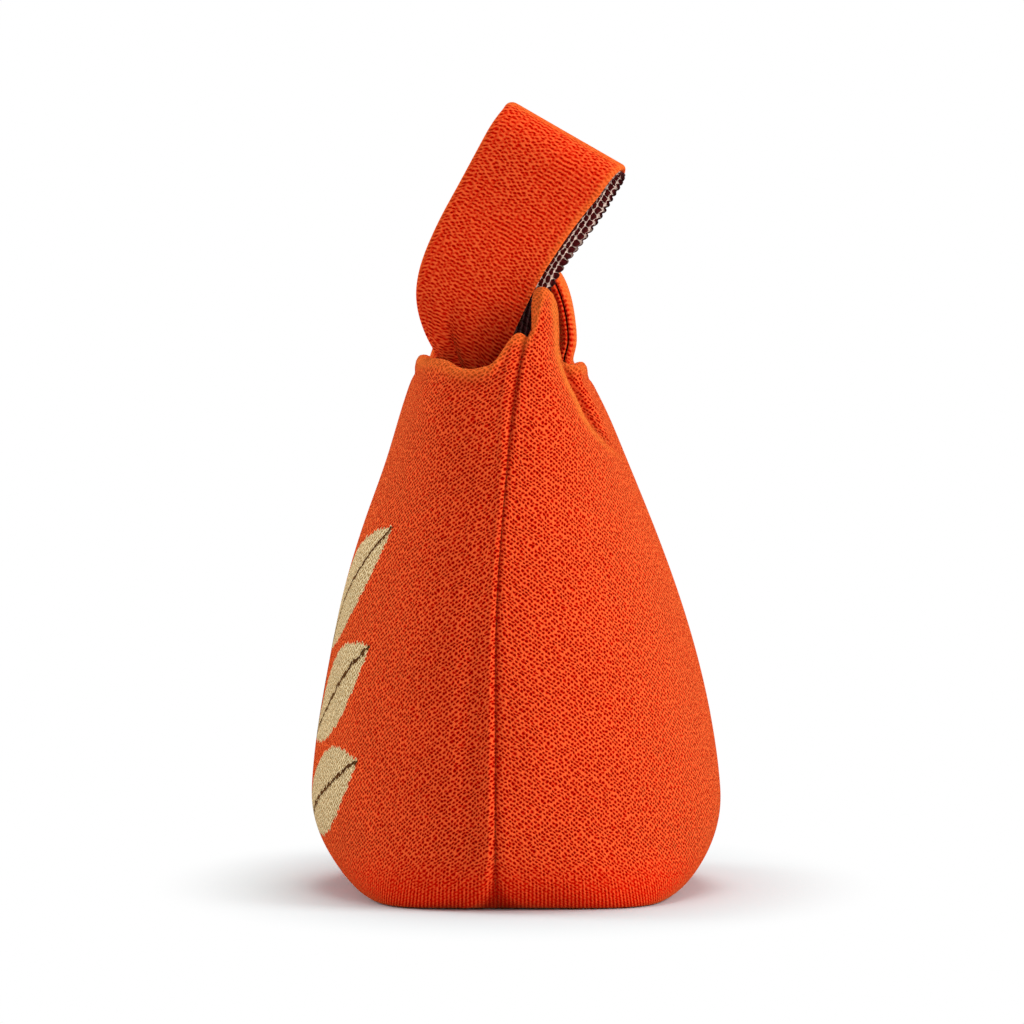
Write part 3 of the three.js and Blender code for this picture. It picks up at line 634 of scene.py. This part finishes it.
def knit_panel(name, side, finishes):
    from_near, angle = panel_columns(side)
    rim = mouth_edge(angle, side)
    level = np.concatenate([np.linspace(-1, 0, BASE_ROWS, endpoint=False),
                            np.linspace(0, 1, FOOT_ROWS, endpoint=False),
                            np.linspace(1, 2, WALL_ROWS)])[:, None]
    wall, fold_shade, fold_light, _ = pulled_cloth(body_wall(angle, level, rim), angle, from_near, side)
    out = side * facing(wall)
    out[: BASE_ROWS + 1] = (0, 0, -1)
    z = wall[..., 2]
    at_mouth = smooth(level, *MOUTH_LEVELS)
    outer = wall + out * panel_relief(from_near, side, level, z, rim - z)[..., None]
    lip_roll = LIP_ROLL * bell((rim - z) / 5) * at_mouth * smooth(from_near, 1, 9)
    inner = wall - out * (FABRIC + lip_roll)[..., None]
    for skin in (outer, inner):
        skin[:, 0, 1] = wall[:, 0, 1]
        skin[:, -1, 1] = wall[:, -1, 1]
        skin[0, :, 1] = wall[0, :, 1]
        skin[..., 2] = np.maximum(skin[..., 2], 0.0)
    lip_up = unit(outer[-1] - outer[-2])
    middle, reach = (outer[-1] + inner[-1]) / 2, (outer[-1] - inner[-1]) / 2
    turns = [math.pi * (i + 1) / (LIP_ROWS + 1) for i in range(LIP_ROWS)]
    lip = np.stack([middle + reach * math.cos(t) + lip_up * FABRIC / 2 * math.sin(t) for t in turns])
    points = np.concatenate([outer, lip, inner[::-1]])
    rows = len(points)
    spots = panel_cloth(angle, level, from_near, side, z)
    cloth_outer, half_outer = spots[..., :2], spots[..., 2]
    edge_way = np.gradient(cloth_outer[-1], axis=0)
    over = FABRIC * LIP_CLOTH * unit(stacked(edge_way[:, 1], -edge_way[:, 0]))
    cloth_lip = np.stack([cloth_outer[-1] + over * t for t in turns])
    cloth = np.concatenate([cloth_outer, cloth_lip, cloth_outer[::-1] + over * math.pi])
    half_width = np.concatenate([half_outer, half_outer[[-1] * LIP_ROWS], half_outer[::-1]])
    faces = grid_faces(rows, PANEL_COLUMNS, wrap_rows=True)
    hem_row = len(outer) + LIP_ROWS + HEM
    finish_of = [0 if i // (PANEL_COLUMNS - 1) < hem_row else 1 for i in range(len(faces))]
    for edge in (0, PANEL_COLUMNS - 1):
        for i in range(rows // 2):
            ring_of = [i, i + 1, rows - 2 - i, rows - 1 - i]
            faces.append([r * PANEL_COLUMNS + edge for r in dict.fromkeys(ring_of)])
            finish_of.append(0)
    crease, worn = np.zeros((2,) + points.shape[:2])
    # Painted shade in the grooves of the seams and under the back panel's fold
    at_seams = bell(from_near / 0.5) + bell((from_near[-1] - from_near) / 0.5)
    crease[: len(outer)] = np.maximum(0.6 * at_seams, fold_shade)
    # Painted highlight along the mouth's edge, its rolled lip and the fold's ridge
    worn[: len(outer)] = np.maximum(RIM_HIGHLIGHT * bell((rim - z) / 3) * at_mouth, fold_light)
    worn[len(outer): len(outer) + LIP_ROWS] = RIM_HIGHLIGHT
    drawn_in = RIBBED * (1 - smooth(points[..., 2], 0, RIBS_TOP))
    return cloth_object(name, points, cloth, faces, finishes, finish_of, crease=crease, worn=worn,
                        drawn_in=drawn_in, half_width=half_width)


orange_knit = knit_finish("orange_knit", ORANGE)
picture_knit = knit_finish("orange_knit_with_leaves", ORANGE, pattern=leaf_sprig)
maroon_inside = knit_finish("maroon_inside", MAROON, pitch=(3.2, 1.8))
front_panel = knit_panel("front_panel_cloth", -1, [picture_knit, maroon_inside])
back_panel = knit_panel("back_panel_cloth", 1, [orange_knit, maroon_inside])
for panel, node in ((front_panel, "front_panel"), (back_panel, "back_panel")):
    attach(panel, "bag")
    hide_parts(node)

# Seam allowances
# The cut edges of the panels, overlocked together and left standing inside the bag: one up each end,
# one along the base, and one across each end of the base where the corners are boxed.
SEAM_DEPTH, SEAM_WIDTH = 7.0, 4.4
SEAM_INSET, CORNER_SEAM_INSET = 2.8, 11.0
OVERLOCK_PITCH, OVERLOCK_RELIEF = 3.2, 0.35


# Frame along a path: the path's direction, a direction across it and the one square to both
def path_frame(path, reference):
    along = unit(np.gradient(path, axis=0))
    across = np.array(reference, float)
    across = unit(across - along * np.sum(across * along, axis=1, keepdims=True))
    return along, across, np.cross(along, across)


# Closed piece from rings of points, with flat ends
def ringed_piece(name, rings, cloth, finish, **traits):
    rows, columns = rings.shape[:2]
    faces = grid_faces(rows, columns, wrap_columns=True)
    faces.append(list(range(columns))[::-1])
    faces.append([(rows - 1) * columns + i for i in range(columns)])
    return cloth_object(name, rings, cloth, faces, [finish], **traits)


def ring_cloth(rings):
    around = run(np.concatenate([rings, rings[:, :1]], axis=1), 1)[:, :-1]
    along = run(rings, 0).mean(axis=1, keepdims=True)
    return stacked(around, along)


# Folded cut edges with the ridges of the overlocking thread across them
def overlocked_edge(name, path, out_from_wall, finish):
    _, deep, wide = path_frame(path, out_from_wall)
    turn = np.linspace(0, TURN, 20, endpoint=False)
    place = math.pi * run(path[:, None], 0) / OVERLOCK_PITCH
    ridge = OVERLOCK_RELIEF * np.abs(np.sin(place + 0.6 * np.sin(turn)))
    deep_size = (SEAM_DEPTH / 2 - OVERLOCK_RELIEF + ridge) * boxy(np.cos(turn), 3)
    wide_size = (SEAM_WIDTH / 2 - OVERLOCK_RELIEF + ridge) * boxy(np.sin(turn), 3)
    rings = path[:, None] + deep[:, None] * deep_size[..., None] + wide[:, None] * wide_size[..., None]
    piece = ringed_piece(name, rings, ring_cloth(rings), finish)
    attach(piece, "bag")
    return piece


orange_yarn = knit_finish("orange_yarn", ORANGE, pitch=(1.4, 0.9))
for end, seam_name, seam_top in ((1, "near_side_seam", 203), (-1, "far_side_seam", 195)):
    seam_heights = np.linspace(23, seam_top, 180)
    low_share = np.clip(1 - (seam_heights - FABRIC) / (WIDEST_HEIGHT - FABRIC), 0, 1)
    wall_x = mixed(FOOT_LENGTH / 2, BAG_LENGTH / 2 - FABRIC, np.sqrt(1 - low_share ** 2))
    wall_x = wall_x - (BAG_LENGTH - RIM_LENGTH) / 2 * taper(seam_heights, RIM_HEIGHT)
    seam_x = end * (wall_x - SEAM_INSET - SEAM_DEPTH / 2)
    seam_y = through(seam_heights, NEAR_SEAM) if end > 0 else body_lean(seam_heights)
    seam_path = stacked(seam_x, seam_y, seam_heights)
    seam = overlocked_edge(seam_name + "_edges", seam_path, (end, 0, 0), orange_yarn)
    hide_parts(seam_name)

corner_x = FOOT_LENGTH / 2 - CORNER_SEAM_INSET
corner_share = (corner_x + SEAM_WIDTH / 2) / (FOOT_LENGTH / 2)
corner_reach = FRONT_FOOT * (1 - corner_share ** 3.4) ** (1 / 3.4) - 1.5
base_reach = corner_x - SEAM_WIDTH / 2 - 0.4
seam_lift = FABRIC + 0.3 + SEAM_DEPTH / 2
FLOOR_SEAMS = {
    "base_seam": ((-base_reach, 0), (base_reach, 0)),
    "near_corner_seam": ((corner_x, -corner_reach), (corner_x, corner_reach)),
    "far_corner_seam": ((-corner_x, -corner_reach), (-corner_x, corner_reach)),
}
for seam_name, (start, end) in FLOOR_SEAMS.items():
    seam_path = np.linspace((*start, seam_lift), (*end, seam_lift), 120)
    seam = overlocked_edge(seam_name + "_edges", seam_path, (0, 0, 1), orange_yarn)
    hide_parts(seam_name)

# Short loop
# A strap of the same knit, folded lengthwise into a flat tube and sewn in at the back and the front of
# the mouth. The handle's cloth goes under it, so it stands up as a tight arch.
LOOP_WIDTH, LOOP_THICKNESS, LOOP_CLOTH, LOOP_SQUARENESS = 30.0, 7.0, 2.3, 2.6
SLIT_HALF, SLIT_SPREAD, SLIT_DEPTH = 0.05, 0.13, 0.7  # where the folded strap's edges meet
LOOP_STEPS = 150
LOOP_CENTRE = (0, -5, 205)
# Painted shade on the strap's inner half and painted highlight along its outer edge
LOOP_SHADE, LOOP_HIGHLIGHT = 0.15, 0.4
LOOP_LINE = ((2, 24.3, 184), (2, 20.2, 192), (2, 17.6, 198.3), (1.8, 19.1, 205.9), (1, 18.7, 213.2),
             (-0.3, 17.2, 220.6), (-2, 14.5, 227.4), (-3.3, 11.0, 231.4), (-4.8, 5, 235.5),
             (-5.2, -4, 237.4), (-4.6, -14.2, 235), (-2, -22.4, 227), (0.5, -25.6, 215), (2, -28.0, 204),
             (2, -31.0, 194), (2, -34.2, 184))


# Points on a smooth curve through knots
def curve_through(knots, count):
    knots = np.array(knots, float)
    place = np.arange(len(knots))
    fine = np.linspace(0, len(knots) - 1, count)
    return stacked(*(through(fine, list(zip(place, axis))) for axis in knots.T))


# Evenly spaced points on such a curve
def smooth_path(knots, count):
    curve = curve_through(knots, 1200)
    length = run(curve[:, None], 0)[:, 0]
    even = np.linspace(0, length[-1], count)
    return stacked(*(np.interp(even, length, axis) for axis in curve.T))


loop_path = smooth_path(LOOP_LINE, LOOP_STEPS)
_, loop_across, loop_out = path_frame(loop_path, (1, 0, 0))
row_knit = knit_finish("orange_row_knit", ORANGE, pitch=(1.6, 1.35), staggered=False, hollow=0.9)
# The folded strap's section: round the outside from the edges that meet, which face the near end, and back
# round the inside
outside = np.linspace(SLIT_HALF, TURN - SLIT_HALF, 64)
section = []
for inset, turns in ((0, outside), (LOOP_CLOTH, outside[::-1])):
    slit = SLIT_DEPTH * bell(np.minimum(turns, TURN - turns) / SLIT_SPREAD)
    wide = (LOOP_WIDTH / 2 - inset) * boxy(np.cos(turns), LOOP_SQUARENESS) - slit
    thick = (LOOP_THICKNESS / 2 - inset) * boxy(np.sin(turns), LOOP_SQUARENESS)
    section.append(stacked(wide, thick))
section = np.concatenate(section)
loop_step = np.arange(LOOP_STEPS)[:, None]
loop_squeeze = 1 - 0.12 * bell((loop_step - LOOP_STEPS / 2) / 30)
loop_puff = 1 + 0.06 * np.sin(loop_step / 7)
loop_rings = (loop_path[:, None] + loop_across[:, None] * (section[:, 0] * loop_squeeze)[..., None]
              - loop_out[:, None] * (section[:, 1] * loop_puff)[..., None])
loop_away = unit((loop_path - np.array(LOOP_CENTRE)) * (0, 1, 1))
loop_depth = np.sum((loop_rings - loop_path[:, None]) * loop_away[:, None], axis=2) / (LOOP_THICKNESS / 2)
# Painted shade on the inner half of the strap, turned towards the handle
loop_shade = LOOP_SHADE * (1 - smooth(loop_depth, -0.3, 0.6))
loop_cloth = ring_cloth(loop_rings)[..., ::-1]
# Painted highlight along the strap's outer edge
loop_worn = LOOP_HIGHLIGHT * smooth(loop_depth, 0.45, 0.9)
short_loop = ringed_piece("short_loop_strap", loop_rings, loop_cloth, row_knit, crease=loop_shade,
                          worn=loop_worn)
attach(short_loop, "bag")
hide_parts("short_loop")

# Handle legs
# The two ends of the handle's band, gathered into pleats and sewn inside the far end of the mouth.
# They run side by side under the short loop to where the handle stands up.
LEG_LINES = {
    "front": ((-34, -28.2, 184), (-34, -25.0, 194), (-27, -16, 202.5), (-14, -9.8, 202.5), (4, -9.6, 198),
              (20, -9.6, 192.5)),
    "back": ((-34, 18.4, 184), (-34, 15.2, 194), (-27, 6.5, 202.5), (-14, 0.2, 202.5), (4, 0.0, 198),
             (20, 0.0, 192.5)),
}
LEG_WIDTH, LEG_BUNCH_WIDTH, LEG_PLEAT, LEG_CLOTH = 22.0, 12.0, 1.7, 2.0
PLEATS = 4
for leg_name, line in LEG_LINES.items():
    path = smooth_path(line, 110)
    share = np.linspace(0, 1, len(path))[:, None]
    _, out, across = path_frame(path, (0, 1, 0))
    bunch = smooth(share, 0.1, 0.6)
    half = mixed(LEG_WIDTH, LEG_BUNCH_WIDTH, bunch) / 2
    pleat = mixed(0.5, LEG_PLEAT, bunch)
    t = np.linspace(-1, 1, 65)
    ripple = pleat * np.sin(PLEATS * math.pi * (t + 0.12 * np.sin(9 * share)))
    flat_part = np.concatenate([t, t[::-1]])
    thick = np.sqrt(1 - np.clip((np.abs(t) - 0.9) / 0.1, 0, 1) ** 2) * LEG_CLOTH / 2
    lift = np.concatenate([ripple + thick, (ripple - thick)[:, ::-1]], axis=1)
    rings = path[:, None] + across[:, None] * (half * flat_part)[..., None] + out[:, None] * lift[..., None]
    leg = ringed_piece("handle_" + leg_name + "_leg_cloth", rings, ring_cloth(rings), orange_knit)
    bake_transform(leg)
    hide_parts("handle_" + leg_name + "_leg")

# Tacking stitches
# A zigzag of doubled orange thread over each sewn end of the short loop and of the handle's legs.
TACK_STEP, TACK_HALF, TACK_THREAD = 1.9, 1.2, 0.55


def tack_row(name, centre, along, across, length):
    count = int(length / TACK_STEP)
    turns = np.arange(count * 6 + 1) / 6
    side = 2 * np.abs((turns % 2) - 1) - 1
    path = (np.array(centre) + np.outer((turns / count - 0.5) * length, along)
            + np.outer(side * TACK_HALF, across))
    _, first, second = path_frame(path, np.cross(along, across))
    ring = np.linspace(0, TURN, 10, endpoint=False)
    tube = TACK_THREAD * (np.cos(ring)[:, None] * first[:, None] + np.sin(ring)[:, None] * second[:, None])
    rings = path[:, None] + tube
    piece = ringed_piece(name + "_thread", rings, ring_cloth(rings), orange_yarn)
    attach(piece, "bag")
    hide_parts(name)


TACKS = {
    "short_loop_back_tack": ((2, 21.6, 187.2), (1, 0, 0), (0, 0.25, -1), 18),
    "short_loop_front_tack": ((2, -30.2, 187.2), (1, 0, 0), (0, -0.25, -1), 18),
    "handle_front_tack": ((-33.6, -24.8, 187.2), (0.97, -0.22, 0), (0, -0.25, -1), 13),
    "handle_back_tack": ((-33.6, 15.2, 187.2), (0.97, 0.22, 0), (0, 0.25, -1), 13),
}
for tack_name, (centre, along, across, length) in TACKS.items():
    tack_row(tack_name, centre, unit(np.array(along)), unit(np.array(across)), length)

# Long handle
# A wide band of the knit folded over into a loop. Its front layer hangs nearest the camera, the rear
# layer stands a little to the right, and both are gathered into soft folds where they enter the mouth.
BAND_CLOTH = 2.4
BAND_X, BAND_FOLD_RADIUS = 31.0, 9.8
FRONT_LEFT = ((-13, 158), (-17, 180), (-24.5, 195), (-30, 203), (-34.4, 211), (-37.2, 220), (-37.6, 229),
              (-35.2, 239.5), (-29.4, 253), (-20.8, 269), (-12.2, 285))
FRONT_RIGHT = ((-6, 158), (-8, 180), (-6.5, 195), (-4, 203), (-1.3, 211), (2.6, 219.5), (6.5, 227.5),
               (10.4, 234.6), (16, 243.2), (22.6, 252.6), (31, 263))
REAR_LEFT = ((-13, 158), (-17, 180), (-21, 195), (-25, 204), (-28.5, 213), (-30.8, 222), (-31.4, 231),
             (-29.4, 242), (-24.6, 254), (-18, 268), (-10.2, 285))
REAR_RIGHT = ((-3, 158), (-1, 180), (1.2, 195), (3.2, 203), (6, 212), (9.6, 220.5), (13.4, 228.5),
              (18.2, 236.2), (24, 243.8), (31.4, 254), (36.6, 262.6))
CROWN_LEFT, CROWN_RIGHT = (-4.2, 297.7), (39.8, 272.2)
CORNER_DROP, CORNER_SHARE = 2.2, 0.075  # the fold's upper corner is soft
LAYER_ROWS, FOLD_ROWS = 106, 26
EDGE_ROUND = 0.945
# Painted highlights along the band's edges and over its fold
BAND_HIGHLIGHT, LEFT_EDGE_HIGHLIGHT = 0.36, 0.22
# Soft folds of the gathered end: place across the band, width, depth
GATHERS = ((-0.40, 0.13, -3.6), (-0.12, 0.18, 0.9), (0.3, 0.2, -0.8), (-0.75, 0.15, 0.9))


# Middle surface of the band: up the front, over the fold and down the rear, at shares -1 to 1 across it
def band_surface(t, layer_rows, fold_rows):
    front = [curve_through(edge, layer_rows) for edge in (FRONT_LEFT, FRONT_RIGHT)]
    rear = [curve_through(edge, layer_rows)[::-1] for edge in (REAR_LEFT, REAR_RIGHT)]
    edges = []
    turn = np.linspace(0, math.pi, fold_rows + 2)[1:-1, None]
    for i, crown in enumerate((CROWN_LEFT, CROWN_RIGHT)):
        low = mixed(front[i][-1], rear[i][0], (1 - np.cos(turn)) / 2)
        reach = np.array(crown) - (front[i][-1] + rear[i][0]) / 2
        over = low + reach * np.sin(turn) ** 0.9
        edges.append(np.concatenate([front[i], over, rear[i]]))
    x = np.concatenate([np.full(layer_rows, BAND_X + BAND_FOLD_RADIUS),
                        BAND_X + BAND_FOLD_RADIUS * np.cos(turn[:, 0]),
                        np.full(layer_rows, BAND_X - BAND_FOLD_RADIUS)])
    share = (t[None, :, None] + 1) / 2
    flat = mixed(edges[0][:, None], edges[1][:, None], share)
    corner = CORNER_DROP * bell((t[None] + 1) / CORNER_SHARE)
    flat[layer_rows:-layer_rows, :, 1] -= corner * np.sin(turn) ** 2
    points = np.concatenate([np.broadcast_to(x[:, None, None], flat[..., :1].shape), flat], axis=2)
    side = np.clip((x - BAND_X) / BAND_FOLD_RADIUS, -1, 1)[:, None]
    z = points[..., 2]
    gathered = 1 - smooth(z, 203, 228)
    crown = 1.1 * (1 - t[None] ** 2) * (1 - gathered)
    folds = sum(depth * bell((t[None] - place - 0.004 * (z - 205)) / width)
                for place, width, depth in GATHERS)
    points[..., 0] += side * (crown + gathered * folds)
    closing = 1 - smooth(z, 186, 206)
    points[..., 0] -= 2.5 * closing * side
    points[..., 0] -= np.clip(side, 0, 1) * (7 + 5 * t[None] ** 2) * (1 - smooth(z, 196, 246))
    return points


def band_rounding(t, thickness):
    edge = np.clip((np.abs(t) - EDGE_ROUND) / (1 - EDGE_ROUND), 0, 1)
    return thickness / 2 * np.sqrt(1 - edge ** 2)


inner_t = np.linspace(-EDGE_ROUND, EDGE_ROUND, 65)
edge_t = EDGE_ROUND + (1 - EDGE_ROUND) * np.sin(np.linspace(0, math.pi / 2, 6))[1:]
band_t = np.concatenate([-edge_t[::-1], inner_t, edge_t])
band_middle = band_surface(band_t, LAYER_ROWS, FOLD_ROWS)
band_out = facing(band_middle)
band_half = band_rounding(band_t, BAND_CLOTH)[None, :, None]
band_rings = np.concatenate([band_middle + band_out * band_half,
                             (band_middle - band_out * band_half)[:, -2:0:-1]], axis=1)
band_along = run(band_middle, 0)
band_along = band_along - band_along[[LAYER_ROWS + FOLD_ROWS // 2]]
band_across = run(band_middle, 1)
band_across = band_across - band_across[:, [len(band_t) // 2]]
band_cloth = stacked(band_along, band_across)
band_cloth = np.concatenate([band_cloth, band_cloth[:, -2:0:-1]], axis=1)
# Painted highlights along both edges and over the fold, high up only
band_edge_highlight = np.maximum(BAND_HIGHLIGHT * smooth(band_t, 0.85, 0.97), LEFT_EDGE_HIGHLIGHT * smooth(-band_t, 0.93, 0.99))
band_worn = np.maximum(band_edge_highlight[None], BAND_HIGHLIGHT * (1 - smooth(np.abs(band_along), 2, 6)))
band_worn = band_worn * smooth(band_middle[..., 2], 215, 240)
band_worn = np.concatenate([band_worn, 0 * band_worn[:, -2:0:-1]], axis=1)
long_handle = ringed_piece("long_handle_band", band_rings, band_cloth, row_knit, worn=band_worn)
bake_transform(long_handle)
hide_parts("long_handle", "handle_neck")

# Lining of the long handle
# The reverse of the band's jacquard: a coarse maroon knit whose loops are outlined by the cream yarn
# that lies behind them. It is faced into the band, and its looped edge shows along the right.
LOOP_PITCH, LOOP_ROW, LOOP_SLANT, LOOP_BOX = 3.3, 1.9, 0.4, 2.6
FRILL_PITCH, FRILL_DEPTH = 3.4, 1.3
LINING_CLEAR, LINING_BACKING, LINING_RELIEF = 0.2, 0.5, 0.75
# Painted shade on the lining where it goes down into the mouth, and the plain dark maroon of its looped
# edge
LINING_SHADE, FRILL_DARK_YARN = 0.95, 0.75
PLAIN_COLUMNS, EDGE_COLUMNS, EDGE_FROM = 60, 50, 0.45  # closer together along the looped edge
OUTLINE_FROM, OUTLINE_FULL = 0.76, 0.95
LOOP_WANDER = (1.7, 1.1, 0)
OUTLINE_CREAM = srgb(255, 226, 208)


def loop_height(along, across):
    row = across / LOOP_ROW
    column = along / LOOP_PITCH + 0.5 * (np.floor(row) % 2)
    aside = row - np.floor(row) - 0.5
    ahead = column - np.floor(column) - 0.5 - LOOP_SLANT * aside
    return np.sqrt(np.clip(1 - np.abs(2 * ahead) ** LOOP_BOX - np.abs(2 * aside) ** LOOP_BOX, 0, 1))


lining_t = np.concatenate([np.linspace(-0.97, EDGE_FROM, PLAIN_COLUMNS, endpoint=False),
                           np.linspace(EDGE_FROM, 0.985, EDGE_COLUMNS)])
lining_middle = band_surface(lining_t, 300, 60)
lining_in = -facing(lining_middle)
lining_along = run(lining_middle, 0).mean(axis=1, keepdims=True)
lining_across = run(lining_middle, 1)
lining_across = lining_across - lining_across[:, [PLAIN_COLUMNS]]
loops = loop_height(lining_along, lining_across)
back_of = lining_middle + lining_in * (BAND_CLOTH / 2 + LINING_CLEAR)
face_of = back_of + lining_in * (LINING_BACKING + LINING_RELIEF * loops[..., None])
scallop = np.sqrt(np.abs(np.sin(math.pi * lining_along / FRILL_PITCH)))
frill_reach = smooth(lining_t[None], 0.90, 0.985) - 0.4 * smooth(-lining_t[None], 0.93, 0.97)
frill = FRILL_DEPTH * scallop * frill_reach
sideways = unit(np.gradient(lining_middle, axis=1))
lining_rings = np.concatenate([face_of + sideways * frill[..., None],
                               (back_of + sideways * frill[..., None])[:, ::-1]], axis=1)
lining_cloth = stacked(lining_along, lining_across)
lining_cloth = np.concatenate([lining_cloth, lining_cloth[:, ::-1]], axis=1)

coarse_knit, coarse, coarse_shader = new_finish("maroon_knit")
calc = partial(calculate, coarse)
coarse_place = cloth_place(coarse)
coarse_cloud = cloud(coarse, coarse_place, 0.45)["Color"]
uneven = new_node(coarse, "VectorMath", coarse_cloud, LOOP_WANDER, coarse_place,
                  operation="MULTIPLY_ADD")[0]
coarse_along, coarse_across, _ = new_node(coarse, "SeparateXYZ", uneven)
loop_aside, loop_ahead = in_stitch(coarse, coarse_across, coarse_along, (LOOP_ROW, LOOP_PITCH))
loop_ahead = calc("MULTIPLY_ADD", loop_aside, -LOOP_SLANT, loop_ahead)
loop_parts = [calc("MULTIPLY", calc("ABSOLUTE", part), 2.0) for part in (loop_aside, loop_ahead)]
loop_far = calc("ADD", *(calc("POWER", part, LOOP_BOX) for part in loop_parts))
outline = new_node(coarse, "MapRange", loop_far, OUTLINE_FROM, OUTLINE_FULL)["Result"]
yarn_fleck = cloud(coarse, coarse_place, 1.4)["Fac"]
maroon_tone = mix_colour(coarse, yarn_fleck, MAROON[0], MAROON[1])
coarse_colour = mix_colour(coarse, outline, maroon_tone, OUTLINE_CREAM)
coarse_colour = mix_colour(coarse, mesh_trait(coarse, "crease"), coarse_colour, MAROON[0])
put_all(coarse, coarse_shader, {
    "Base Color": coarse_colour, "Normal": relief(coarse, yarn_fleck),
    "Roughness": calc("MULTIPLY_ADD", yarn_fleck, 0.15, 0.8), "Specular IOR Level": 0.2})

# The looped edge's own dark maroon, without the cream outlines
frill_dark_yarn = FRILL_DARK_YARN * smooth(np.concatenate([lining_t, lining_t[::-1]]), 0.945, 0.97)
# Painted shade on the lining's lower part, which lies in shadow in the mouth
lining_shade_and_dark_frill = np.maximum(LINING_SHADE * (1 - smooth(lining_rings[..., 2], 219, 231)), frill_dark_yarn)
handle_lining = ringed_piece("long_handle_lining_cloth", lining_rings, lining_cloth, coarse_knit,
                             crease=lining_shade_and_dark_frill)
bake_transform(handle_lining)
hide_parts("long_handle_lining")
